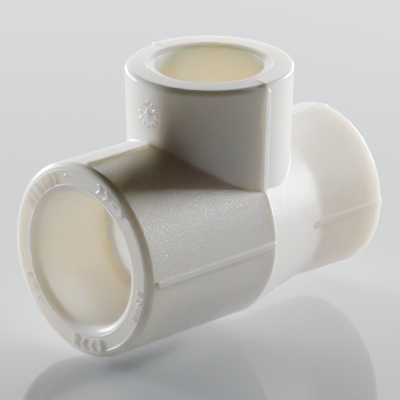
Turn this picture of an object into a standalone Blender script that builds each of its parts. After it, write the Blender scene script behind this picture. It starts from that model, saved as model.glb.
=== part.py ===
"""Reducing tee for socket-fused polypropylene pipe, in metres, +Z up.

The fitting is one injection moulding: three sockets around one waterway, with no
insert, seal or fastener. The run lies along X, with the 25 mm socket at -X and the
20 mm socket at +X, and the 20 mm branch stands up along +Z. The origin is on the
surface that the fitting stands on, in the middle of its footprint.
"""

import math

import bmesh
import bpy
from mathutils import Matrix, Vector

MM = 0.001

# Socket bores: radius at the mouth and at the root, and depth to the pipe stop.
BIG_MOUTH_R, BIG_ROOT_R, BIG_DEPTH = 12.05 * MM, 11.90 * MM, 15.5 * MM
SMALL_MOUTH_R, SMALL_ROOT_R, SMALL_DEPTH = 9.55 * MM, 9.40 * MM, 14.5 * MM

# Rounding of each mouth into its bore: across the face, and down the bore.
BIG_LEAD_IN, SMALL_LEAD_IN = (1.32 * MM, 1.32 * MM), (1.30 * MM, 0.50 * MM)
ROOT_FILLET = 1.2 * MM
STOP_FILLET = 0.4 * MM

# Waterway inside the pipe stops.
BIG_WATERWAY_R = 9.2 * MM
SMALL_WATERWAY_R = 6.9 * MM
WATERWAY_CONE = (7.0 * MM, 10.5 * MM)

# Outside radii. Each socket widens a little from the middle to its face.
BIG_FACE_R, BIG_RIDGE_R = 17.45 * MM, 17.10 * MM
SMALL_FACE_R, SMALL_NECK_R = 14.55 * MM, 14.28 * MM
BRANCH_FACE_R, BRANCH_FOOT_R = 14.75 * MM, 13.78 * MM
BIG_EDGE_R = 1.15 * MM
SMALL_EDGE_R = 0.85 * MM
BRANCH_EDGE_R = 0.70 * MM
NECK_X = 13.6 * MM

# From where the axes cross to each socket's face.
BIG_REACH = 29.95 * MM
SMALL_REACH = 28.40 * MM
BRANCH_REACH = 29.05 * MM

# Alignment ribs, a quarter turn apart along the run, and one down the branch's side.
RIB_WIDTH = 1.30 * MM
RIB_HEIGHT = 0.42 * MM
RIB_QUARTERS = (0, 90, 180, 270)
BIG_RIB_X = (-27.9 * MM, 0.3 * MM)
SMALL_RIB_X = (11.4 * MM, 27.6 * MM)
BRANCH_RIB_Z = (9.0 * MM, 28.1 * MM)

SIDES = 64
ARC_STEPS = 4
RIB_RINGS = 9
CUT_PAST = 1.0 * MM
MOUTH_PAST = 0.02 * MM

# Warm white polypropylene, slightly translucent, with a fine eroded surface.
PLASTIC_COLOUR = (0.80, 0.77, 0.71, 1.0)
PLASTIC_ROUGHNESS = 0.38


def run_wall(x):
    """The run's outside radius at a distance along X from where the axes cross."""
    if x <= 0:
        return BIG_RIDGE_R + (BIG_FACE_R - BIG_RIDGE_R) * -x / BIG_REACH
    if x <= NECK_X:
        return BIG_RIDGE_R + (SMALL_NECK_R - BIG_RIDGE_R) * x / NECK_X
    return SMALL_NECK_R + (SMALL_FACE_R - SMALL_NECK_R) * (x - NECK_X) / (SMALL_REACH - NECK_X)


def branch_wall(z):
    """The branch's outside radius at a height above where the axes cross."""
    return BRANCH_FOOT_R + (BRANCH_FACE_R - BRANCH_FOOT_R) * z / BRANCH_REACH


# Where the axes cross, above the middle of the footprint. The lowest rib touches the ground.
LOWEST_R = run_wall(BIG_RIB_X[0] + RIB_WIDTH / 2) + RIB_HEIGHT
CROSSING = Vector(((BIG_REACH - SMALL_REACH) / 2, 0.0, LOWEST_R))


def clear_scene():
    """Removes what a new file starts with."""
    for item in list(bpy.data.objects):
        bpy.data.objects.remove(item, do_unlink=True)


def plastic():
    """The fitting's one material."""
    material = bpy.data.materials.new("polypropylene")
    material.use_nodes = True
    shader = material.node_tree.nodes["Principled BSDF"]
    shader.inputs["Base Color"].default_value = PLASTIC_COLOUR
    shader.inputs["Roughness"].default_value = PLASTIC_ROUGHNESS
    shader.inputs["Metallic"].default_value = 0.0
    material.diffuse_color = PLASTIC_COLOUR
    return material


def quarter(centre, across, along, start):
    """Points (radius, distance) on a quarter ellipse, from angle start onwards."""
    steps = [math.radians(start + 90 * i / ARC_STEPS) for i in range(ARC_STEPS + 1)]
    return [(centre[0] + across * math.cos(a), centre[1] + along * math.sin(a)) for a in steps]


def outside_end(face_r, reach, edge_r):
    """A socket's outside from its wall to its face, with a rounded edge."""
    return quarter((face_r - edge_r, reach - edge_r), edge_r, edge_r, 0)


def socket_bore(mouth_r, root_r, depth, lead_in, reach, waterway_r):
    """A socket's hollow, from the waterway at the pipe stop out past its face."""
    across, along = lead_in
    stop = reach - depth
    edge_centre = (waterway_r + STOP_FILLET, stop - STOP_FILLET)
    edge = quarter(edge_centre, STOP_FILLET, STOP_FILLET, 90)
    root = quarter((root_r - ROOT_FILLET, stop + ROOT_FILLET), ROOT_FILLET, ROOT_FILLET, 270)
    mouth = quarter((mouth_r + across, reach - along + MOUTH_PAST), across, along, 90)
    return edge[::-1] + root + mouth[::-1] + [(mouth_r + across, reach + CUT_PAST)]


def mirrored(profile):
    """The same profile facing the other way along its axis."""
    return [(radius, -distance) for radius, distance in reversed(profile)]


def link(name, bm):
    """Puts a bmesh into the scene as an object with its faces pointing out."""
    bmesh.ops.remove_doubles(bm, verts=bm.verts, dist=0.0001 * MM)
    bmesh.ops.recalc_face_normals(bm, faces=bm.faces)
    mesh = bpy.data.meshes.new(name)
    bm.to_mesh(mesh)
    bm.free()
    item = bpy.data.objects.new(name, mesh)
    bpy.context.scene.collection.objects.link(item)
    return item


def turned(name, profile, turn):
    """A solid turned about Z from points (radius, distance), then turned to its axis."""
    low, high = profile[0][1], profile[-1][1]
    closed = [(0.0, low)] + profile + [(0.0, high)]
    bm = bmesh.new()
    points = [bm.verts.new((radius, 0.0, distance)) for radius, distance in closed]
    edges = [bm.edges.new(pair) for pair in zip(points, points[1:])]
    bmesh.ops.spin(
        bm,
        geom=points + edges,
        cent=(0, 0, 0),
        axis=(0, 0, 1),
        angle=math.tau,
        steps=SIDES,
        use_merge=True,
    )
    item = link(name, bm)
    half_side = Matrix.Rotation(math.pi / SIDES, 4, "Z")
    item.data.transform(Matrix.Translation(CROSSING) @ turn @ half_side)
    return item


def rib(name, start, end, outward):
    """A raised bead between two points on a wall: a ball whose halves are drawn apart."""
    along = end - start
    bm = bmesh.new()
    poles_along = Matrix.Rotation(math.radians(90), 4, "Y")
    radius = RIB_WIDTH / 2 / math.cos(math.pi / RIB_RINGS / 2)
    bmesh.ops.create_uvsphere(
        bm, u_segments=12, v_segments=RIB_RINGS, radius=radius, matrix=poles_along
    )
    half = along.length / 2 - RIB_WIDTH / 2
    for vert in bm.verts:
        vert.co.x += math.copysign(half, vert.co.x)
    x_axis = along.normalized()
    z_axis = (outward - outward.dot(x_axis) * x_axis).normalized()
    turn = Matrix((x_axis, z_axis.cross(x_axis), z_axis)).transposed().to_4x4()
    sunk = RIB_HEIGHT - RIB_WIDTH / 2
    place = Matrix.Translation(CROSSING + (start + end) / 2 + z_axis * sunk)
    item = link(name, bm)
    item.data.transform(place @ turn)
    return item


def run_ribs():
    """The ribs along both sockets of the run."""
    made = []
    for low, high in (BIG_RIB_X, SMALL_RIB_X):
        for angle in RIB_QUARTERS:
            outward = Vector((0, math.cos(math.radians(angle)), math.sin(math.radians(angle))))
            ends = [Vector((x, 0, 0)) + outward * run_wall(x) for x in (low, high)]
            made.append(rib(f"cut_rib_{len(made)}", ends[0], ends[1], outward))
    return made


def branch_ribs():
    """The ribs down the branch on the parting plane, one on each side."""
    made = []
    for side in (-1, 1):
        outward = Vector((0, side, 0))
        ends = [Vector((0, 0, z)) + outward * branch_wall(z) for z in BRANCH_RIB_Z]
        made.append(rib(f"cut_branch_rib_{len(made)}", ends[0], ends[1], outward))
    return made


def combine(body, tool, operation):
    """Adds a tool to the body, or cuts it away, and keeps the tool as a guide."""
    modifier = body.modifiers.new(tool.name, "BOOLEAN")
    modifier.operation = operation
    modifier.object = tool
    modifier.solver = "EXACT"
    tool.hide_render = True
    tool.display_type = "WIRE"


def build_tee():
    """The whole fitting as one body."""
    along_x = Matrix.Rotation(math.radians(90), 4, "Y")
    upright = Matrix.Identity(4)
    big_end = outside_end(BIG_FACE_R, BIG_REACH, BIG_EDGE_R)
    small_end = outside_end(SMALL_FACE_R, SMALL_REACH, SMALL_EDGE_R)
    middle = [(BIG_RIDGE_R, 0.0), (SMALL_NECK_R, NECK_X)]
    body = turned("tee_body", mirrored(big_end) + middle + small_end, along_x)

    branch_end = outside_end(BRANCH_FACE_R, BRANCH_REACH, BRANCH_EDGE_R)
    branch = turned("cut_branch", [(BRANCH_FOOT_R, 0.0)] + branch_end, upright)

    big_bore = socket_bore(
        BIG_MOUTH_R, BIG_ROOT_R, BIG_DEPTH, BIG_LEAD_IN, BIG_REACH, BIG_WATERWAY_R
    )
    small_bore = socket_bore(
        SMALL_MOUTH_R, SMALL_ROOT_R, SMALL_DEPTH, SMALL_LEAD_IN, SMALL_REACH, SMALL_WATERWAY_R
    )
    branch_bore = socket_bore(
        SMALL_MOUTH_R, SMALL_ROOT_R, SMALL_DEPTH, SMALL_LEAD_IN, BRANCH_REACH, SMALL_WATERWAY_R
    )
    cone = [(BIG_WATERWAY_R, WATERWAY_CONE[0]), (SMALL_WATERWAY_R, WATERWAY_CONE[1])]
    run_hollow = turned("cut_run_hollow", mirrored(big_bore) + cone + small_bore, along_x)
    branch_foot = [(SMALL_WATERWAY_R, 0.0)]
    branch_hollow = turned("cut_branch_hollow", branch_foot + branch_bore, upright)

    combine(body, branch, "UNION")
    for item in run_ribs() + branch_ribs():
        combine(body, item, "UNION")
    combine(body, run_hollow, "DIFFERENCE")
    combine(body, branch_hollow, "DIFFERENCE")

    body.data.materials.append(plastic())
    body.data.shade_smooth()
    body.data.set_sharp_from_angle(angle=math.radians(30))
    return body


clear_scene()
build_tee()
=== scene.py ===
"""Looks of the reducing tee, a socket-fused polypropylene pipe fitting.

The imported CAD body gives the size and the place. One finely finished moulding replaces
it: drafted sockets with rounded mouths, a rolled fillet where the branch meets the run,
alignment ribs, mould flash along the parting plane, raised generic marks on the large
socket's face and a plain dial on the branch.

Shapes are worked out in millimetres from the point where the two axes cross, with X
along the run, Y across and Z up the branch, and become metres when the mesh is made.
Angles round the run start at +Y and pass +Z at 90 degrees. Angles round the branch
start at +X and pass +Y at 90 degrees.
"""

import math

import bmesh
import bpy
import numpy as np
from mathutils import Matrix, Vector


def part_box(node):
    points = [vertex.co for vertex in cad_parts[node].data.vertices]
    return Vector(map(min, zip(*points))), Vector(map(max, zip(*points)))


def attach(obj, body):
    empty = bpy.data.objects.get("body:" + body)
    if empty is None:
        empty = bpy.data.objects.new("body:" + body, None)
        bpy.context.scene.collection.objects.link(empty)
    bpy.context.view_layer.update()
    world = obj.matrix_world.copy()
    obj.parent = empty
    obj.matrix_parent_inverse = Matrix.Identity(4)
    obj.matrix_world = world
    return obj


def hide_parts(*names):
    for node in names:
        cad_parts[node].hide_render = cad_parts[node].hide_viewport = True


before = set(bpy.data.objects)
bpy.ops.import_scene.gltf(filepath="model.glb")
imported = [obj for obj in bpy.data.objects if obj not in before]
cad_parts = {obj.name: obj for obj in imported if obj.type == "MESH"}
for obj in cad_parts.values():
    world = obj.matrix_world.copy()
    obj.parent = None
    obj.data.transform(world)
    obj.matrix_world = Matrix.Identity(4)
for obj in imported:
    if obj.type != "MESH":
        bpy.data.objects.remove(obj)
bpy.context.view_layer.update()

MM = 0.001
WELD = 1e-4

# ---------------------------------------------------------------- dimensions, in mm

# From the crossing point of the axes to each face, and the outside radii.
BIG_REACH, SMALL_REACH, BRANCH_REACH = 29.95, 28.40, 29.05
BIG_FACE_R, BIG_RIDGE_R = 17.45, 17.10
SMALL_FACE_R, SMALL_NECK_R, NECK_X = 14.55, 14.28, 13.60
BRANCH_FACE_R, BRANCH_FOOT_R = 14.75, 13.78
BIG_EDGE, SMALL_EDGE = 1.15, 0.60
BRANCH_EDGE_LEFT, BRANCH_EDGE_RIGHT = 1.00, 0.55

# The sockets' hollows and the waterway. A lead-in is (across, along) at the mouth.
BIG_MOUTH_R, BIG_ROOT_R, BIG_DEPTH, BIG_LEAD_IN = 12.05, 11.90, 15.5, (1.32, 1.32)
SMALL_MOUTH_R, SMALL_ROOT_R, SMALL_DEPTH, SMALL_LEAD_IN = 9.55, 9.40, 14.5, (1.30, 0.50)
ROOT_FILLET, STOP_FILLET = 1.2, 0.4
BIG_WATERWAY_R, SMALL_WATERWAY_R = 9.2, 6.9
WATERWAY_CONE = (7.0, 10.5)
LEAD_IN_SWEEP, MOUTH_BEAD_R, MOUTH_EDGE = 62.0, 0.075, 0.03

RIDGE_SOFT, NECK_SOFT, WATERWAY_SOFT = 0.25, 0.70, 0.40
CREASE_FILLET, WATERWAY_FILLET = 0.55, 0.40

# Alignment ribs: where they run from and to, and the distances they rise and fall over.
RIB_HALF_WIDTH, RIB_TOP_HALF_WIDTH, RIB_HEIGHT = 0.75, 0.48, 0.42
RIB_QUARTERS = (0.0, 90.0, 180.0, 270.0)
BIG_RIB_X, BIG_RIB_RISE = (-28.75, 0.3), (0.9, 0.1)
SMALL_RIB_X, SMALL_RIB_RISE = (11.3, 29.2), (2.2, 3.0)
BRANCH_RIB_Z, BRANCH_RIB_RISE, BRANCH_RIB_SHARE = (6.0, 28.1), (1.5, 0.1), 0.75

# Flash on the ridge, beside the branch's ribs and across the branch's face, where the
# mould's halves are also a little out of step.
FLASH_HEIGHT, FLASH_WIDTHS, FLASH_START = 0.16, (0.08, 0.40), (57.0, 61.0)
FLASH_WAVES, RIDGE_SEED, FACE_SEED = ((0.30, 5.0, 1.0), (0.25, 17.0, 2.3)), 1.0, 2.0
RIB_FLASH_HEIGHT, RIB_FLASH_HALF_WIDTH, RIB_FLASH_AT = 0.10, 0.09, -0.30
RIB_FLASH_START, RIB_FLASH_END = (5.0, 7.0), (27.2, 27.8)
PARTING_X, PARTING_HALF_WIDTH, PARTING_HEIGHT = 0.07, 0.09, 0.09
MISMATCH, MISMATCH_R, MISMATCH_SOFT = 0.14, 12.0, 0.07

# The dial on the branch: a sunk disc with a ring of ticks round an arrow. A pair is where a
# soft edge starts and ends.
DIAL_TURN, DIAL_Z, DIAL_R, DIAL_RIM = 180.0, 23.0, 2.85, 0.12
DIAL_TICKS, DIAL_SINK, DIAL_RELIEF = 12, 0.06, 0.22
DIAL_RING_START, DIAL_RING_END, DIAL_STROKE = (1.65, 1.80), (2.45, 2.60), (0.10, 0.26)
ARROW_TIP, ARROW_HEAD_START, ARROW_HEAD_WIDTH, ARROW_HEAD_SOFT = (0.85, 1.05), (0.0, 0.15), 0.85, 0.2
ARROW_HEAD_BASE = 0.1

# Raised marks on the large face, in groups: the angle of the group's middle, the step from
# mark to mark in degrees, half a mark's height, and the marks' shapes in turn.
FACE_MARKS = (
    (46.3, 7.0, 1.10, ("bars", "bar", "bars", "bar", "bars", "bar")),
    (75.0, 4.0, 0.40, ("dot",)),
    (120.0, 7.8, 0.95, ("arrow", "arrow", "dash", "arrow")),
    (196.5, 6.6, 0.80, ("dashes", "arrow", "dash", "dashes")),
    (-97.0, 8.4, 1.05, ("bars", "arrow", "arrow", "bars")),
    (-33.5, 8.6, 0.80, ("dot", "dashes", "arrow")),
)
MARKS_MIDDLE_R = 15.05
MARK_STROKE, MARK_SOFT, MARK_RELIEF = 0.12, 0.05, 0.26
MARKED_FACE_R = (13.84, 16.24)
MARK_LINES = {
    "bar": [[(0.0, -1.0), (0.0, 1.0)]],
    "bars": [[(-0.32, -1.0), (-0.32, 1.0)], [(0.32, -1.0), (0.32, 1.0)]],
    "dash": [[(-0.5, 0.0), (0.5, 0.0)]],
    "dashes": [[(-0.5, -0.5), (0.5, -0.5)], [(-0.5, 0.5), (0.5, 0.5)]],
    "arrow": [[(-0.35, -0.85), (0.4, 0.0), (-0.35, 0.85)]],
    "dot": [[(-0.2, -0.2), (0.2, 0.2)], [(-0.2, 0.2), (0.2, -0.2)]],
}
FAR_FROM_MARKS = 9.0
FACE_FLASH_R, FACE_FLASH_WIDTH, FACE_FLASH_HEIGHT = 16.10, 0.06, 0.12

# The core's seam in the large socket: a shallow groove with sunk flecks round its outer end.
SEAM_TURN, SEAM_HALF_WIDTH, SEAM_HEIGHT = -35.5, 0.10, -0.12
SEAM_FADE_IN, SEAM_FADE_OUT = 1.0, 0.6
FLECKS, FLECK_START, FLECK_STEP, FLECK_R, FLECK_SHARE = 14, 0.45, 0.16, 0.16, 0.8
FLECK_SPREAD, FLECK_SCATTER = 0.75, 2.4

# How each kind of surface is finished: how much of it is bore, which takes the lighter bore colour with
# its painted glow, and how much is grained.
RUN_SKIN, BRANCH_SKIN, FACE_SKIN, BORE_SKIN = (0.0, 1.0), (0.0, 0.3), (0.0, 0.15), (1.0, 0.0)

# ---------------------------------------------------------------- fineness of the grids

# Steps between lines, in mm and in degrees, and zones of closer lines (half width, step).
RUN_STEP, BRANCH_STEP, WATERWAY_STEP = 1.25, 1.0, 0.9
TURN_STEP, BORE_TURN_STEP, WATERWAY_TURN_STEP = 3.0, 2.5, 5.0
RIB_ZONE, DIAL_TURN_ZONE, DIAL_Z_ZONE, SEAM_ZONE = (3.9, 0.3), (11.7, 0.6), (2.94, 0.14), (5.0, 0.4)
RUN_ZONES = (
    (-28.1, 0.65, 0.11),
    (-0.825, 0.675, 0.125),
    (0.1, 0.25, 0.05),
    (0.925, 0.575, 0.125),
    (11.8, 0.60, 0.12),
    (13.6, 0.90, 0.20),
)
RIB_END_ZONE = (27.4, 0.14, 0.14)
MARK_ZONE_SPARE, MARK_TURN_STEP, MARK_ROW_STEP, FACE_FLASH_ZONE = 3.4, 0.42, 0.105, (0.12, 0.04)

# The window in the run that the branch's crease is fanned into: its two ends, the angle of
# its side, and how many rows the fan, the wall above and the fillet between have.
RUN_WINDOW_X, RUN_WINDOW_SIDE, RUN_CREASE_ROWS = (-21.0, 20.5), 12.0, (14, 10, 5)
WATER_WINDOW_X, WATER_WINDOW_SIDE, WATER_CREASE_ROWS = (-10.3, 11.0), 18.0, (6, 4, 4)
FAN_CROWDING = 1.5

# The search for a ball's contacts: its highest start, its halvings, and a step for slopes.
ROLL_HIGHEST, ROLL_HALVINGS, SLOPE_STEP = 30.0, 60, 0.05

# The crease's grid ends at FOOT_TOP, and the branch's own runs from WALL_START to SHOULDER
# below its face. The waterway's grid ends STOP_GAP short of the pipe stops.
FOOT_TOP, WALL_START, SHOULDER, STOP_GAP = 18.9, 19.1, 1.5, 1.0

# Rows in each part of a profile, and how far a face's grid stops from the next one.
EDGE_STEPS, LEAD_IN_STEPS, BEAD_STEPS, ROOT_STEPS, LIP_STEPS = 8, 8, 6, 6, 4
SHOULDER_STEPS, BRANCH_FACE_STEPS, SMALL_BORE_STEPS = 4, 6, 8
BRANCH_FACE_GAP, SMALL_FACE_GAP, BIG_FACE_GAP = 0.25, 0.4, 0.02

# Rings along the large bore's wall (first, last, count): close by its seam's rough end first.
BIG_BORE_FINE, BIG_BORE_COARSE = (0.0, 0.24, 16), (0.3, 1.0, 9)

# ---------------------------------------------------------------- looks

# Noises are (scale, detail), and most of a noise lies between the two NOISE_MIDDLE values.
NOISE_MIDDLE = (0.3, 0.7)
SKIN_WARM, SKIN_COOL = (0.93, 0.88, 0.81, 1.0), (0.935, 0.895, 0.835, 1.0)
# The bore's colour is the plastic's cream, made lighter than the skin: painted light for the glow that
# comes through the wall.
BORE_CREAM_AND_GLOW = (0.97, 0.93, 0.86, 1.0)
TONE_NOISE, PIT_NOISE, PATCH_NOISE = (90.0, 3.0), (5400.0, 1.0), (420.0, 2.0)
PIT_ROUGHNESS, PATCH_ROUGHNESS, GRAIN_ROUGHNESS = (0.16, 0.22), (-0.025, 0.025), 0.06
BUMP_DEPTH, BUMP_GRAINED, BUMP_SMOOTH = 0.0001, 0.8, 0.03
PLASTIC_IOR, CLEAR_WEIGHT, CLEAR_SCALE, CLEAR_RADIUS = 1.49, 0.6, 0.0041, (1.0, 0.83, 0.60)

FLOOR_DARK, FLOOR_LIGHT = (0.286, 0.292, 0.302, 1.0), (0.298, 0.304, 0.314, 1.0)
FLOOR_NOISE, FLOOR_ROUGHNESS, FLOOR_IOR = (6.0, 2.0), 0.06, 1.15
FLOOR_HALF, FLOOR_CELLS, FLOOR_Z = 4.0, 8, -0.0007

# The view's azimuth, elevation and roll, and where it aims, in mm right and up of the origin.
VIEW_ANGLES, VIEW_AIM = (-42.88, 20.84, 0.25), (-1.505, 3.301)
VIEW_DISTANCE, VIEW_LENS, VIEW_SENSOR, VIEW_CLIP = 0.9692, 497.0, 36.0, 20.0

KEY_WHITE, BACK_WHITE = (0.96, 0.985, 1.0), (0.95, 0.98, 1.0)
ROOM_COLOUR, ROOM_STRENGTH = (1.0, 0.86, 0.70, 1.0), 0.004
LIGHTS_AIM = (0.0, 0.0, 0.02)

# Each light: name, degrees from +X and up, distance, width and height in metres, power, colour.
LIGHTS = (
    ("key", (20, 2), 0.42, (0.11, 0.066), 10.8, KEY_WHITE),
    ("key_front", (-2, 3), 0.42, (0.06, 0.06), 8.8, KEY_WHITE),
    ("key_high", (-10, 14), 0.42, (0.06, 0.06), 3.1, KEY_WHITE),
    ("back", (80, 2), 0.42, (0.11, 0.066), 9.8, BACK_WHITE),
    ("back_left", (104, 5), 0.42, (0.11, 0.11), 5.2, BACK_WHITE),
    ("backdrop", (47, 16), 1.50, (1.20, 0.50), 16.5, BACK_WHITE),
)


# ---------------------------------------------------------------- lines of the grids


def turned_from(turn, middle):
    """How far an angle is from another, between -180 and 180 degrees."""
    return (turn - middle + 180.0) % 360.0 - 180.0


def gaussian(x):
    """A bump of height 1 round 0."""
    return np.exp(-x * x)


def evenly(low, high, step):
    """Points from low up to, but without, high, about one step apart."""
    count = max(1, round((high - low) / step))
    return list(np.linspace(low, high, count + 1)[:-1])


def graded(low, high, coarse, zones):
    """Points from low to high: one step apart in each zone (centre, half width, step)."""
    points, at = [], low
    for centre, half, step in sorted(zones):
        points += evenly(at, centre - half, coarse)
        points += evenly(centre - half, centre + half, step)
        at = centre + half
    return np.array(points + evenly(at, high, coarse) + [high])


def turn_lines(coarse, zones):
    """Angles once round, in degrees, closely spaced in each zone (centre, half width, step)."""
    start = zones[0][0] - zones[0][1]
    return graded(start, start + 360.0, coarse, zones)[:-1]


def nearest(lines, value):
    """The line closest to a value."""
    return lines[int(np.argmin(np.abs(lines - value)))]


# ---------------------------------------------------------------- the moulding's mesh


class Moulding:
    """Collects points and faces, and welds the points that its surfaces share."""

    def __init__(self):
        self.points = []
        self.faces = []
        self.skins = []
        self.count = 0

    def add(self, points, faces, skin):
        """Adds points (n, 3) and faces as index tuples into them."""
        self.points.append(points)
        self.faces += [tuple(i + self.count for i in face) for face in faces]
        self.skins.append(np.tile(skin, (len(points), 1)))
        self.count += len(points)

    def sheet(self, rows, skin, closed=True):
        """Quads between rows of equally many points (rows, columns, 3)."""
        rows = np.asarray(rows)
        height, width = rows.shape[:2]
        around = width if closed else width - 1
        faces = []
        for i in range(height - 1):
            low, high = i * width, (i + 1) * width
            for j in range(around):
                k = (j + 1) % width
                faces.append((low + j, low + k, high + k, high + j))
        self.add(rows.reshape(-1, 3), faces, skin)

    def zipper(self, ring_a, angles_a, ring_b, angles_b, skin):
        """Triangles between two closed rings of different counts, by their angles."""
        count_a, count_b = len(ring_a), len(ring_b)
        from_start = (angles_b - angles_a[0]) % 360.0
        order = np.argsort(from_start)
        turn_a = np.append((angles_a - angles_a[0]) % 360.0, 360.0)
        turn_b = np.append(from_start[order], from_start[order[0]] + 360.0)
        order = np.append(order, order[0]) + count_a
        faces, i, j = [], 0, 0
        while i < count_a or j < count_b:
            a_is_next = j == count_b or (
                i < count_a and turn_a[i] + turn_a[i + 1] < turn_b[j] + turn_b[j + 1]
            )
            if a_is_next:
                faces.append((i % count_a, (i + 1) % count_a, int(order[j])))
                i += 1
            else:
                faces.append((i % count_a, int(order[j + 1]), int(order[j])))
                j += 1
        self.add(np.vstack([ring_a, ring_b]), faces, skin)

    def mesh(self, name, origin):
        """One closed mesh in metres, with its faces pointing out."""
        points = np.vstack(self.points)
        skins = np.vstack(self.skins)
        keys = np.round(points / WELD).astype(np.int64)
        _, first, index = np.unique(keys, axis=0, return_index=True, return_inverse=True)
        index = index.ravel()
        faces = []
        for face in self.faces:
            welded = [int(index[i]) for i in face]
            distinct = [v for k, v in enumerate(welded) if v != welded[k - 1]]
            if len(set(distinct)) > 2:
                faces.append(distinct)
        mesh = bpy.data.meshes.new(name)
        mesh.from_pydata((points[first] * MM + np.array(origin)).tolist(), [], faces)
        mesh.validate()
        for column, skin in enumerate(("bore", "grain")):
            layer = mesh.attributes.new(skin, "FLOAT", "POINT")
            layer.data.foreach_set("value", skins[first, column].astype(np.float32))
        bm = bmesh.new()
        bm.from_mesh(mesh)
        bmesh.ops.recalc_face_normals(bm, faces=bm.faces)
        open_edges = sum(1 for edge in bm.edges if not edge.is_manifold)
        print("moulding:", len(bm.verts), "points,", len(bm.faces), "faces,", open_edges, "open edges")
        bm.to_mesh(mesh)
        bm.free()
        mesh.shade_smooth()
        return mesh


# ---------------------------------------------------------------- profiles


def soft_step(value, low, high):
    """0 below low, 1 above high, and smooth between."""
    t = np.clip((value - low) / (high - low), 0.0, 1.0)
    return t * t * (3.0 - 2.0 * t)


def soft_ramp(x, at, soft):
    """0 before a point, then rising at slope 1, with the corner rounded over soft."""
    near = np.clip(x - at + soft, 0.0, 2.0 * soft)
    return near * near / (4.0 * soft) + np.maximum(x - at - soft, 0.0)


def rib_height(along, across, span, rise):
    """Height of a flat-topped rib with round ends, which takes a distance to rise at each end."""
    low, high = span[0] + RIB_HALF_WIDTH, span[1] - RIB_HALF_WIDTH
    beyond = np.maximum(np.maximum(low - along, along - high), 0.0)
    away = np.hypot(beyond, across)
    risen = soft_step(along, span[0], span[0] + rise[0])
    risen = risen * (1.0 - soft_step(along, span[1] - rise[1], span[1]))
    return RIB_HEIGHT * risen * (1.0 - soft_step(away, RIB_TOP_HALF_WIDTH, RIB_HALF_WIDTH))


def uneven(turn, seed):
    """A number round 1 that wanders slowly with an angle, for flash of uneven height."""
    height = 1.0
    for size, waves, shift in FLASH_WAVES:
        height = height + size * np.sin(waves * np.radians(turn) + shift * seed)
    return height


def run_outside(x, turn):
    """The run's outside radius, with its ridge, cone, neck, ribs and flash."""
    slope_big = (BIG_RIDGE_R - BIG_FACE_R) / BIG_REACH
    slope_cone = (SMALL_NECK_R - BIG_RIDGE_R) / NECK_X
    slope_small = (SMALL_FACE_R - SMALL_NECK_R) / (SMALL_REACH - NECK_X)
    wall = BIG_RIDGE_R + slope_big * x
    wall = wall + (slope_cone - slope_big) * soft_ramp(x, 0.0, RIDGE_SOFT)
    wall = wall + (slope_small - slope_cone) * soft_ramp(x, NECK_X, NECK_SOFT)
    ribs = 0.0
    for quarter in RIB_QUARTERS:
        across = np.radians(turned_from(turn, quarter)) * wall
        ribs = ribs + rib_height(x, across, BIG_RIB_X, BIG_RIB_RISE)
        ribs = ribs + rib_height(x, across, SMALL_RIB_X, SMALL_RIB_RISE)
    steep, gentle = FLASH_WIDTHS
    flash = soft_step(x, -steep, 0.0) * np.clip(1.0 - x / gentle, 0.0, 1.0)
    from_top = np.abs(turned_from(turn, 90.0))
    flash = FLASH_HEIGHT * uneven(turn, RIDGE_SEED) * flash * soft_step(from_top, *FLASH_START)
    return wall + np.maximum(ribs, flash)


def branch_outside(z, turn):
    """The branch's outside radius, with its draft, side ribs and dial."""
    wall = BRANCH_FOOT_R + (BRANCH_FACE_R - BRANCH_FOOT_R) * z / BRANCH_REACH
    relief = 0.0
    for side in (-90.0, 90.0):
        across = np.radians(turned_from(turn, side)) * wall
        rib = BRANCH_RIB_SHARE * rib_height(z, across, BRANCH_RIB_Z, BRANCH_RIB_RISE)
        flash = RIB_FLASH_HEIGHT * gaussian((across - RIB_FLASH_AT) / RIB_FLASH_HALF_WIDTH)
        flash = flash * soft_step(z, *RIB_FLASH_START)
        flash = flash * (1.0 - soft_step(z, *RIB_FLASH_END))
        relief = relief + rib + flash
    return wall + relief + dial_height(z, turn, wall)


def parting_height(turn, radius):
    """Height of the flash that crosses the branch's face along the parting plane."""
    across = (radius * np.cos(np.radians(turn)) - PARTING_X) / PARTING_HALF_WIDTH
    return PARTING_HEIGHT * gaussian(across)


def dial_height(z, turn, wall):
    """A round mould mark on the branch: a ring of ticks round an arrow."""
    across, up = np.radians(turned_from(turn, DIAL_TURN)) * wall, z - DIAL_Z
    radius = np.hypot(across, up)
    angle = np.degrees(np.arctan2(up, across))
    pitch = 360.0 / DIAL_TICKS
    from_tick = np.abs(np.radians((angle + pitch / 2) % pitch - pitch / 2)) * radius
    band = soft_step(radius, *DIAL_RING_START) * (1.0 - soft_step(radius, *DIAL_RING_END))
    ticks = band * (1.0 - soft_step(from_tick, *DIAL_STROKE))
    shaft = 1.0 - soft_step(np.abs(across), *DIAL_STROKE)
    shaft = shaft * (1.0 - soft_step(np.abs(up), *ARROW_TIP))
    head_width = ARROW_HEAD_WIDTH - (up - ARROW_HEAD_BASE)
    head = 1.0 - soft_step(np.abs(across), head_width - ARROW_HEAD_SOFT, head_width)
    head = head * soft_step(up, *ARROW_HEAD_START)
    head = head * (1.0 - soft_step(up, *ARROW_TIP))
    well = -DIAL_SINK * (1.0 - soft_step(radius, DIAL_R - DIAL_RIM, DIAL_R))
    return well + DIAL_RELIEF * np.maximum(np.maximum(ticks, shaft), head)


def waterway_run(x, _turn):
    """The run's waterway radius between the two pipe stops."""
    slope = (SMALL_WATERWAY_R - BIG_WATERWAY_R) / (WATERWAY_CONE[1] - WATERWAY_CONE[0])
    start, end = (soft_ramp(x, at, WATERWAY_SOFT) for at in WATERWAY_CONE)
    return BIG_WATERWAY_R + slope * (start - end)


def waterway_branch(_z, _turn):
    """The branch's waterway radius, which is the same everywhere."""
    return SMALL_WATERWAY_R


# ---------------------------------------------------------------- surfaces


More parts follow.
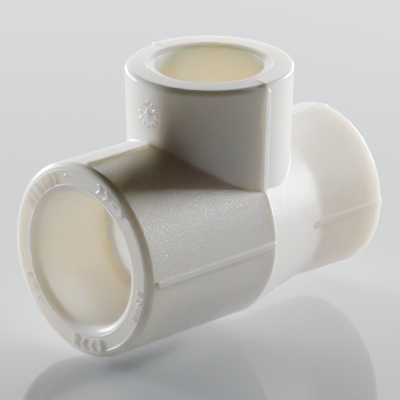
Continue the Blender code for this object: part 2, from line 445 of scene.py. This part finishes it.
def on_run(x, turn, radius):
    """Points of a surface round X."""
    a = np.radians(turn)
    x, a, radius = np.broadcast_arrays(x, a, radius)
    return np.stack([x, radius * np.cos(a), radius * np.sin(a)], -1)


def on_branch(z, turn, radius):
    """Points of a surface round Z."""
    a = np.radians(turn)
    z, a, radius = np.broadcast_arrays(z, a, radius)
    return np.stack([radius * np.cos(a), radius * np.sin(a), z], -1)


def rolled_contact(turn, run_radius, branch_radius, ball):
    """Where a ball that rolls in the crease touches the run and the branch, by branch angle."""
    a = np.radians(turn)
    low, high = np.full(len(turn), 0.5 * ball), np.full(len(turn), ROLL_HIGHEST)
    for _ in range(ROLL_HALVINGS):
        middle = (low + high) / 2
        out = branch_radius(middle, turn) + ball
        x, y = out * np.cos(a), out * np.sin(a)
        around = np.degrees(np.arctan2(middle, y))
        rise = run_radius(x + SLOPE_STEP, around) - run_radius(x - SLOPE_STEP, around)
        slope = rise / (2 * SLOPE_STEP)
        gap = (np.hypot(y, middle) - run_radius(x, around)) / np.hypot(1.0, slope)
        above = gap > ball
        high, low = np.where(above, middle, high), np.where(above, low, middle)
    centre = np.stack([x, y, middle], -1)
    outward = np.stack([-slope, y / np.hypot(y, middle), middle / np.hypot(y, middle)], -1)
    outward /= np.linalg.norm(outward, axis=-1, keepdims=True)
    away = np.stack([np.cos(a), np.sin(a), np.zeros(len(a))], -1)
    return centre, outward, away


def crossing(moulding, radii, ball, x_lines, turns, window, top, skins, rows):
    """The run with a window in it, the branch's foot, and the rolled fillet between them.

    window is (low x, high x, half angle), on grid lines. radii and skins are the run's
    and the branch's. Returns the branch's ring of points at height top, and its angles.
    """
    run_radius, branch_radius = radii
    x_low, x_high, half = window
    fan_rows, wall_rows, fillet_rows = rows
    run_skin, branch_skin = skins
    left = np.array([x for x in x_lines if x <= x_low + WELD])
    middle = np.array([x for x in x_lines if x_low - WELD <= x <= x_high + WELD])
    right = np.array([x for x in x_lines if x >= x_high - WELD])
    for part in (left, right):
        if len(part) > 1:
            x, turn = np.meshgrid(part, turns, indexing="ij")
            moulding.sheet(on_run(x, turn, run_radius(x, turn)), run_skin)
    away_from_top = turned_from(turns, 90.0)
    open_turns = np.sort(away_from_top[np.abs(away_from_top) <= half + WELD]) + 90.0
    shut = (away_from_top + 360.0) % 360.0
    shut_turns = np.sort(shut[(shut >= half - WELD) & (shut <= 360.0 - half + WELD)]) + 90.0
    x, turn = np.meshgrid(middle, shut_turns, indexing="ij")
    moulding.sheet(on_run(x, turn, run_radius(x, turn)), run_skin, closed=False)

    edge = [(x_low, t) for t in open_turns] + [(x_high, t) for t in open_turns]
    edge += [(x, t) for x in middle[1:-1] for t in (90.0 - half, 90.0 + half)]
    edge = np.array(edge)
    mean_r = float(run_radius(np.array([0.5 * (x_low + x_high)]), np.array([0.0]))[0])
    heading = np.degrees(np.arctan2(-np.radians(edge[:, 1] - 90.0) * mean_r, edge[:, 0]))
    order = np.argsort(heading)
    edge, heading = edge[order], heading[order]

    centre, outward, away = rolled_contact(heading, run_radius, branch_radius, ball)
    touch = centre - ball * outward
    foot_x, foot_turn = touch[:, 0], np.degrees(np.arctan2(touch[:, 2], touch[:, 1]))
    t = np.linspace(0.0, 1.0, fan_rows + 1)[:, None] ** FAN_CROWDING
    x = foot_x * (1 - t) + edge[:, 0] * t
    turn = foot_turn * (1 - t) + edge[:, 1] * t
    fan = on_run(x, turn, run_radius(x, turn))
    moulding.sheet(fan, run_skin)

    bend = np.linspace(0.0, 1.0, fillet_rows + 1)[:, None, None]
    cosine = np.clip((outward * away).sum(-1), -1.0, 1.0)
    angle = np.arccos(cosine)[None, :, None]
    spun = np.sin((1 - bend) * angle) * outward + np.sin(bend * angle) * away
    fillet = centre - ball * spun / np.sin(angle)
    fillet[0] = fan[0]
    foot_z = centre[:, 2]
    fillet[-1] = on_branch(foot_z, heading, branch_radius(foot_z, heading))
    moulding.sheet(fillet, branch_skin)

    t = np.linspace(0.0, 1.0, wall_rows + 1)[:, None]
    z = foot_z * (1 - t) + top * t
    wall = on_branch(z, heading, branch_radius(z, heading))
    wall[0] = fillet[-1]
    moulding.sheet(wall, branch_skin)
    return wall[-1], heading


def quarter(centre, size, start, steps):
    """Points (radius, distance) on a quarter circle, from angle start onwards."""
    a = np.radians(start + 90.0 * np.linspace(0.0, 1.0, steps + 1))
    return [(centre[0] + size * math.cos(v), centre[1] + size * math.sin(v)) for v in a]


def lead_in_curve(mouth_r, across, along, reach):
    """A socket's mouth: a bead of flash on the face's edge, then a curve into the wall."""
    sweep = math.radians(LEAD_IN_SWEEP)
    scale_r, scale_d = across / (1.0 - math.cos(sweep)), along / math.sin(sweep)
    curve = []
    for a in np.linspace(sweep, 0.0, LEAD_IN_STEPS + 1):
        radius = mouth_r + scale_r * (1.0 - math.cos(a))
        curve.append((radius, reach - along + scale_d * math.sin(a)))
    middle_r = mouth_r + across + MOUTH_EDGE + MOUTH_BEAD_R
    bead = []
    for a in np.linspace(0.0, math.pi, BEAD_STEPS + 1):
        bead.append((middle_r + MOUTH_BEAD_R * math.cos(a), reach + MOUTH_BEAD_R * math.sin(a)))
    return bead + curve


def socket_profile(mouth_r, root_r, depth, lead_in, reach, waterway_r, wall_at):
    """A socket's hollow as points (radius, distance), from its face to its waterway.

    wall_at are the places of the rings along the drafted wall, from 0 to 1.
    """
    across, along = lead_in
    stop = reach - depth
    mouth = lead_in_curve(mouth_r, across, along, reach)
    wall_start, wall_end = mouth[-1], (root_r, stop + ROOT_FILLET)
    wall = [tuple(np.add(np.multiply(wall_start, 1 - t), np.multiply(wall_end, t)))
            for t in wall_at]
    root = quarter((root_r - ROOT_FILLET, stop + ROOT_FILLET), ROOT_FILLET, 270, ROOT_STEPS)
    lip = quarter((waterway_r + STOP_FILLET, stop - STOP_FILLET), STOP_FILLET, 90, LIP_STEPS)
    return mouth + wall + root[::-1] + lip


def ring(profile_point, turns, axis, direction, relief):
    """One ring of a turned surface, its radius made smaller by any relief."""
    radius, distance = profile_point
    place = on_run if axis == "X" else on_branch
    raised = relief(distance, turns, radius) if relief else 0.0
    return place(direction * distance, turns, radius - raised)


def seam_height(distance, turn, radius):
    """Height (below 0) of the core's seam in the large socket, with its rough outer end."""
    across = np.radians(turned_from(turn, SEAM_TURN)) * radius
    start, end = BIG_REACH - BIG_DEPTH + ROOT_FILLET, BIG_REACH - BIG_LEAD_IN[1]
    along = soft_step(distance, start, start + SEAM_FADE_IN)
    along = along * (1.0 - soft_step(distance, end - SEAM_FADE_OUT, end))
    line = gaussian(across / SEAM_HALF_WIDTH) * along
    flecks = 0.0
    for k in range(FLECKS):
        fleck_across = FLECK_SPREAD * math.sin(FLECK_SCATTER * k)
        fleck_distance = end - FLECK_START - FLECK_STEP * k
        away = np.hypot(across - fleck_across, distance - fleck_distance)
        flecks = np.maximum(flecks, gaussian(away / FLECK_R))
    return SEAM_HEIGHT * np.maximum(line, FLECK_SHARE * flecks)


def mark_height(turn, radius):
    """Height of the raised marks on the large face."""
    nearest_line = np.full(np.shape(turn), FAR_FROM_MARKS)
    for middle, step, half, names in FACE_MARKS:
        for number, name in enumerate(names):
            at = middle + step * (number - (len(names) - 1) / 2)
            across = np.radians(turned_from(turn, at)) * MARKS_MIDDLE_R
            up = radius - MARKS_MIDDLE_R
            for line in MARK_LINES[name]:
                for start, end in zip(line, line[1:]):
                    away = from_segment(across / half, up / half, start, end) * half
                    nearest_line = np.minimum(nearest_line, away)
    edge = (MARK_STROKE - MARK_SOFT, MARK_STROKE + MARK_SOFT)
    return MARK_RELIEF * (1.0 - soft_step(nearest_line, *edge))


def from_segment(x, y, start, end):
    """Distance of points from a straight segment."""
    run, rise = end[0] - start[0], end[1] - start[1]
    t = ((x - start[0]) * run + (y - start[1]) * rise) / (run * run + rise * rise)
    t = np.clip(t, 0.0, 1.0)
    return np.hypot(x - start[0] - t * run, y - start[1] - t * rise)


# ---------------------------------------------------------------- the fitting


def outer_lines():
    """Grid lines of the outside: distances along the run, and angles round it."""
    x = graded(-BIG_REACH + BIG_EDGE, SMALL_REACH - SMALL_EDGE, RUN_STEP, RUN_ZONES)
    turns = turn_lines(TURN_STEP, [(quarter_turn, *RIB_ZONE) for quarter_turn in RIB_QUARTERS])
    return x, turns


def build_outside(moulding):
    """The run's wall, the crease and the branch up to its face. Returns the open rings."""
    x_lines, turns = outer_lines()
    half = 90.0 - nearest(turns, RUN_WINDOW_SIDE)
    window = (nearest(x_lines, RUN_WINDOW_X[0]), nearest(x_lines, RUN_WINDOW_X[1]), half)
    foot, foot_turns = crossing(
        moulding, (run_outside, branch_outside), CREASE_FILLET, x_lines, turns, window,
        top=FOOT_TOP, skins=(RUN_SKIN, BRANCH_SKIN), rows=RUN_CREASE_ROWS,
    )
    big_end = on_run(x_lines[0], turns, run_outside(x_lines[0], turns))
    small_end = on_run(x_lines[-1], turns, run_outside(x_lines[-1], turns))
    return turns, big_end, small_end, foot, foot_turns


def build_branch(moulding, foot, foot_turns):
    """The branch's wall above its foot, its face and its mouth."""
    zones = [(-90.0, *RIB_ZONE), (90.0, *RIB_ZONE), (DIAL_TURN, *DIAL_TURN_ZONE)]
    turns = np.sort(turned_from(turn_lines(TURN_STEP, zones), 0.0))
    z = graded(WALL_START, BRANCH_REACH - SHOULDER, BRANCH_STEP, [(DIAL_Z, *DIAL_Z_ZONE), RIB_END_ZONE])
    zz, tt = np.meshgrid(z, turns, indexing="ij")
    wall = on_branch(zz, tt, branch_outside(zz, tt))
    moulding.zipper(foot, foot_turns, wall[0], turns, BRANCH_SKIN)
    moulding.sheet(wall, BRANCH_SKIN)

    right = soft_step(np.cos(np.radians(turns)) * MISMATCH_R, -MISMATCH_SOFT, MISMATCH_SOFT)
    edge = BRANCH_EDGE_LEFT + (BRANCH_EDGE_RIGHT - BRANCH_EDGE_LEFT) * right
    height = BRANCH_REACH - MISMATCH * (1.0 - right)
    base_z = z[-1]
    rows = []
    for t in np.linspace(0.0, 1.0, SHOULDER_STEPS + 1)[1:]:
        level = base_z + (height - edge - base_z) * t
        rows.append(on_branch(level, turns, branch_outside(level, turns)))
    shoulder_r = branch_outside(height - edge, turns)
    for a in np.radians(np.linspace(0.0, 90.0, EDGE_STEPS + 1)[1:]):
        out = edge + parting_height(turns, shoulder_r) * math.sin(a)
        rows.append(on_branch(height - edge + out * math.sin(a), turns,
                              shoulder_r - edge + out * math.cos(a)))
    rim_r = SMALL_MOUTH_R + SMALL_LEAD_IN[0] + MOUTH_EDGE + 2 * MOUTH_BEAD_R
    outer_r = shoulder_r - edge
    for t in np.linspace(0.0, 1.0, BRANCH_FACE_STEPS + 1)[1:]:
        radius = outer_r + (rim_r + BRANCH_FACE_GAP - outer_r) * t
        step = MISMATCH * (1.0 - right) - parting_height(turns, radius)
        rows.append(on_branch(BRANCH_REACH - step * (1.0 - t), turns, radius))
    moulding.sheet([wall[-1]] + rows, FACE_SKIN)
    return rows[-1], turns


def build_socket(moulding, ring_in, turns_in, profile, axis, direction, lines, end, relief):
    """A socket's hollow from the ring on its face down to the waterway's ring."""
    rows = [ring(p, lines, axis, direction, relief) for p in profile]
    moulding.zipper(ring_in, turns_in, rows[0], lines, FACE_SKIN)
    moulding.sheet(rows, BORE_SKIN)
    moulding.zipper(rows[-1], lines, end[0], end[1], BORE_SKIN)


def build_waterway(moulding):
    """The waterway's crossing. Returns its three open rings."""
    start, end = -BIG_REACH + BIG_DEPTH + STOP_GAP, SMALL_REACH - SMALL_DEPTH - STOP_GAP
    x_lines = graded(start, end, WATERWAY_STEP, [])
    turns = turn_lines(WATERWAY_TURN_STEP, [(0.0, WATERWAY_TURN_STEP, WATERWAY_TURN_STEP)])
    half = 90.0 - nearest(turns, WATER_WINDOW_SIDE)
    window = (nearest(x_lines, WATER_WINDOW_X[0]), nearest(x_lines, WATER_WINDOW_X[1]), half)
    top, top_turns = crossing(
        moulding, (waterway_run, waterway_branch), WATERWAY_FILLET, x_lines, turns, window,
        top=BRANCH_REACH - SMALL_DEPTH - STOP_GAP, skins=(BORE_SKIN, BORE_SKIN),
        rows=WATER_CREASE_ROWS,
    )
    big = on_run(x_lines[0], turns, waterway_run(x_lines[0], turns))
    small = on_run(x_lines[-1], turns, waterway_run(x_lines[-1], turns))
    return (big, turns), (small, turns), (top, top_turns)


def build_end(moulding, wall_ring, turns, reach, edge, direction, rim_r):
    """A run socket's rounded edge and the start of its flat face, down to radius rim_r."""
    start_x = direction * (reach - edge)
    wall_r = np.hypot(wall_ring[:, 1], wall_ring[:, 2])
    rows = [wall_ring]
    for a in np.radians(np.linspace(0.0, 90.0, EDGE_STEPS + 1)[1:]):
        rows.append(on_run(start_x + direction * edge * math.sin(a), turns,
                           wall_r - edge + edge * math.cos(a)))
    outer_r = wall_r - edge
    for t in (0.5, 1.0):
        rows.append(on_run(direction * reach, turns, outer_r + (rim_r - outer_r) * t))
    moulding.sheet(rows, FACE_SKIN)
    return rows[-1]


def build_marked_face(moulding, outer_ring, outer_turns):
    """The large face inside its edge, with its raised marks. Returns its inner ring."""
    first = min(marks[0] for marks in FACE_MARKS)
    zones = []
    for middle, step, _, names in FACE_MARKS:
        half = step * (len(names) - 1) / 2 + MARK_ZONE_SPARE
        zones.append(((middle - first) % 360.0 + first, half, MARK_TURN_STEP))
    turns = turn_lines(TURN_STEP, sorted(zones))
    rows = []
    for radius in graded(*MARKED_FACE_R, MARK_ROW_STEP, [(FACE_FLASH_R, *FACE_FLASH_ZONE)])[::-1]:
        height = mark_height(turns, np.full(len(turns), radius))
        across = (radius - FACE_FLASH_R) / FACE_FLASH_WIDTH
        flash = FACE_FLASH_HEIGHT * uneven(turns, FACE_SEED) * gaussian(across)
        rows.append(on_run(-(BIG_REACH + np.maximum(height, flash)), turns, radius))
    moulding.zipper(outer_ring, outer_turns, rows[0], turns, FACE_SKIN)
    moulding.sheet(rows, FACE_SKIN)
    return rows[-1], turns


def build_ends(moulding, turns, big_ring, small_ring):
    """The faces of the run's two sockets. Returns the rings at their mouths."""
    big_edge = build_end(moulding, big_ring, turns, BIG_REACH, BIG_EDGE, -1.0,
                         MARKED_FACE_R[1] + BIG_FACE_GAP)
    big_rim, big_rim_turns = build_marked_face(moulding, big_edge, turns)
    small_rim = build_end(moulding, small_ring, turns, SMALL_REACH, SMALL_EDGE, 1.0,
                          SMALL_MOUTH_R + SMALL_LEAD_IN[0] + SMALL_FACE_GAP)
    return big_rim, big_rim_turns, small_rim


def build_big_socket(moulding, rim, rim_turns, water):
    """The large hollow, with its rings close together where the seam's rough end is."""
    bore_lines = turn_lines(BORE_TURN_STEP, [(SEAM_TURN, *SEAM_ZONE)])
    wall_at = np.append(np.linspace(*BIG_BORE_FINE)[1:], np.linspace(*BIG_BORE_COARSE)[:-1])
    profile = socket_profile(BIG_MOUTH_R, BIG_ROOT_R, BIG_DEPTH, BIG_LEAD_IN, BIG_REACH,
                             BIG_WATERWAY_R, wall_at)
    build_socket(moulding, rim, rim_turns, profile, "X", -1.0, bore_lines, water, seam_height)


def build_small_socket(moulding, rim, rim_turns, axis, reach, water):
    """The hollow of the branch or of the run's small end."""
    bore_lines = np.arange(0.0, 360.0, BORE_TURN_STEP)
    wall_at = np.linspace(0.0, 1.0, SMALL_BORE_STEPS + 1)[1:-1]
    profile = socket_profile(SMALL_MOUTH_R, SMALL_ROOT_R, SMALL_DEPTH, SMALL_LEAD_IN, reach,
                             SMALL_WATERWAY_R, wall_at)
    build_socket(moulding, rim, rim_turns, profile, axis, 1.0, bore_lines, water, None)


def build_moulding(origin):
    """The whole fitting as one closed mesh."""
    moulding = Moulding()
    turns, big_ring, small_ring, foot, foot_turns = build_outside(moulding)
    branch_rim, branch_turns = build_branch(moulding, foot, foot_turns)
    big_rim, big_turns, small_rim = build_ends(moulding, turns, big_ring, small_ring)
    big_water, small_water, branch_water = build_waterway(moulding)
    build_big_socket(moulding, big_rim, big_turns, big_water)
    build_small_socket(moulding, small_rim, turns, "X", SMALL_REACH, small_water)
    build_small_socket(moulding, branch_rim, branch_turns, "Z", BRANCH_REACH, branch_water)
    return moulding.mesh("tee", origin)


# ---------------------------------------------------------------- materials


class Nodes:
    """A short way to write a material's node tree."""

    def __init__(self, name):
        self.material = bpy.data.materials.new(name)
        self.material.use_nodes = True
        self.tree = self.material.node_tree
        self.shader = self.tree.nodes["Principled BSDF"]

    def new(self, kind, inputs=None, **settings):
        """A node with its settings, and its inputs as values or as links."""
        node = self.tree.nodes.new(kind)
        for key, value in settings.items():
            setattr(node, key, value)
        for key, value in (inputs or {}).items():
            self.join(value, node.inputs[key])
        return node

    def join(self, value, socket):
        """Links a node's output to a socket, or sets the socket's value."""
        if isinstance(value, bpy.types.NodeSocket):
            self.tree.links.new(value, socket)
        else:
            socket.default_value = value

    def math(self, operation, a, b):
        """The result of one sum."""
        return self.new("ShaderNodeMath", {0: a, 1: b}, operation=operation).outputs[0]

    def span(self, noise, to_low, to_high):
        """A noise, most of which lies in the middle, spread between two numbers."""
        inputs = {"Value": noise, "From Min": NOISE_MIDDLE[0], "From Max": NOISE_MIDDLE[1]}
        inputs.update({"To Min": to_low, "To Max": to_high})
        return self.new("ShaderNodeMapRange", inputs).outputs["Result"]

    def mix(self, factor, a, b):
        """Two colours mixed."""
        node = self.new("ShaderNodeMix", data_type="RGBA")
        self.join(factor, node.inputs["Factor"])
        self.join(a, node.inputs["A"])
        self.join(b, node.inputs["B"])
        return node.outputs["Result"]

    def noise(self, place, scale, detail):
        """A noise between 0 and 1."""
        inputs = {"Vector": place, "Scale": scale, "Detail": detail}
        return self.new("ShaderNodeTexNoise", inputs).outputs["Fac"]


def polypropylene():
    """Warm white plastic, slightly clear, grained outside by the spark-eroded mould, with its bore
    painted lighter for the glow that comes through the wall.
    """
    n = Nodes("polypropylene")
    place = n.new("ShaderNodeTexCoord").outputs["Object"]
    bore = n.new("ShaderNodeAttribute", attribute_name="bore").outputs["Fac"]
    grain = n.new("ShaderNodeAttribute", attribute_name="grain").outputs["Fac"]
    tone = n.noise(place, *TONE_NOISE)
    skin = n.mix(n.span(tone, 0.0, 1.0), SKIN_WARM, SKIN_COOL)
    # Bore surfaces take the lighter bore colour, which paints in the glow of light coming through the
    # wall.
    n.join(n.mix(bore, skin, BORE_CREAM_AND_GLOW), n.shader.inputs["Base Color"])
    pits = n.noise(place, *PIT_NOISE)
    patches = n.noise(place, *PATCH_NOISE)
    rough = n.math("ADD", n.math("MULTIPLY", grain, GRAIN_ROUGHNESS), n.span(pits, *PIT_ROUGHNESS))
    rough = n.math("ADD", rough, n.span(patches, *PATCH_ROUGHNESS))
    n.join(rough, n.shader.inputs["Roughness"])
    strength = n.math("ADD", n.math("MULTIPLY", grain, BUMP_GRAINED), BUMP_SMOOTH)
    bump = n.new("ShaderNodeBump", {"Strength": strength, "Distance": BUMP_DEPTH, "Height": pits})
    n.join(bump.outputs["Normal"], n.shader.inputs["Normal"])
    n.shader.inputs["IOR"].default_value = PLASTIC_IOR
    n.shader.inputs["Subsurface Weight"].default_value = CLEAR_WEIGHT
    n.shader.inputs["Subsurface Radius"].default_value = CLEAR_RADIUS
    n.shader.inputs["Subsurface Scale"].default_value = CLEAR_SCALE
    return n.material


def floor_material():
    """A pale, glossy sheet, faintly uneven in tone."""
    n = Nodes("pale_floor")
    place = n.new("ShaderNodeTexCoord").outputs["Object"]
    tone = n.noise(place, *FLOOR_NOISE)
    n.join(n.mix(tone, FLOOR_DARK, FLOOR_LIGHT), n.shader.inputs["Base Color"])
    n.shader.inputs["Roughness"].default_value = FLOOR_ROUGHNESS
    n.shader.inputs["IOR"].default_value = FLOOR_IOR
    return n.material


# ---------------------------------------------------------------- camera, floor and lights


def add_camera(origin):
    """The camera, at the photograph's angle, far off with a long lens."""
    azimuth, elevation, roll = (math.radians(angle) for angle in VIEW_ANGLES)
    back = Vector((math.sin(azimuth) * math.cos(elevation),
                   -math.cos(azimuth) * math.cos(elevation), math.sin(elevation)))
    right = Vector((0, 0, 1)).cross(back).normalized()
    up = back.cross(right)
    target = Vector(origin) + (right * VIEW_AIM[0] + up * VIEW_AIM[1]) * MM
    tilted_right = right * math.cos(roll) + up * math.sin(roll)
    tilted_up = up * math.cos(roll) - right * math.sin(roll)
    camera = bpy.data.objects.new("camera", bpy.data.cameras.new("camera"))
    camera.data.lens = VIEW_LENS
    camera.data.sensor_width = VIEW_SENSOR
    camera.data.clip_end = VIEW_CLIP
    turn = Matrix((tilted_right, tilted_up, back)).transposed().to_4x4()
    camera.matrix_world = Matrix.Translation(target + back * VIEW_DISTANCE) @ turn
    bpy.context.scene.collection.objects.link(camera)
    bpy.context.scene.camera = camera


def add_floor():
    """A pale floor just under the fitting."""
    bm = bmesh.new()
    bmesh.ops.create_grid(bm, x_segments=FLOOR_CELLS, y_segments=FLOOR_CELLS, size=FLOOR_HALF)
    mesh = bpy.data.meshes.new("floor")
    bm.to_mesh(mesh)
    bm.free()
    floor = bpy.data.objects.new("floor", mesh)
    floor.location.z = FLOOR_Z
    floor.data.materials.append(floor_material())
    bpy.context.scene.collection.objects.link(floor)


def add_light(name, angles, distance, size, power, colour, target):
    """A soft rectangular light aimed at the target, at (degrees from +X, degrees up)."""
    data = bpy.data.lights.new(name, "AREA")
    data.shape = "RECTANGLE"
    data.size, data.size_y = size
    data.energy = power
    data.color = colour
    light = bpy.data.objects.new(name, data)
    turn, up = (math.radians(angle) for angle in angles)
    direction = Vector((math.cos(turn) * math.cos(up), math.sin(turn) * math.cos(up), math.sin(up)))
    light.location = Vector(target) + direction * distance
    light.rotation_euler = direction.to_track_quat("Z", "Y").to_euler()
    bpy.context.scene.collection.objects.link(light)


def add_lights():
    """Low soft boxes on the right and behind, and a higher backdrop, in a dim room."""
    for name, angles, distance, size, power, colour in LIGHTS:
        add_light(name, angles, distance, size, power, colour, LIGHTS_AIM)
    world = bpy.data.worlds.new("studio")
    world.use_nodes = True
    background = world.node_tree.nodes["Background"]
    background.inputs["Color"].default_value = ROOM_COLOUR
    background.inputs["Strength"].default_value = ROOM_STRENGTH
    bpy.context.scene.world = world


# ---------------------------------------------------------------- the scene

low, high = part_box("tee_body")
origin = (low.x + BIG_REACH * MM, 0.0, high.z - BRANCH_REACH * MM)

tee = bpy.data.objects.new("tee", build_moulding(origin))
tee.data.materials.append(polypropylene())
bpy.context.scene.collection.objects.link(tee)
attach(tee, "root")
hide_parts("tee_body")

add_camera(origin)
add_floor()
add_lights()
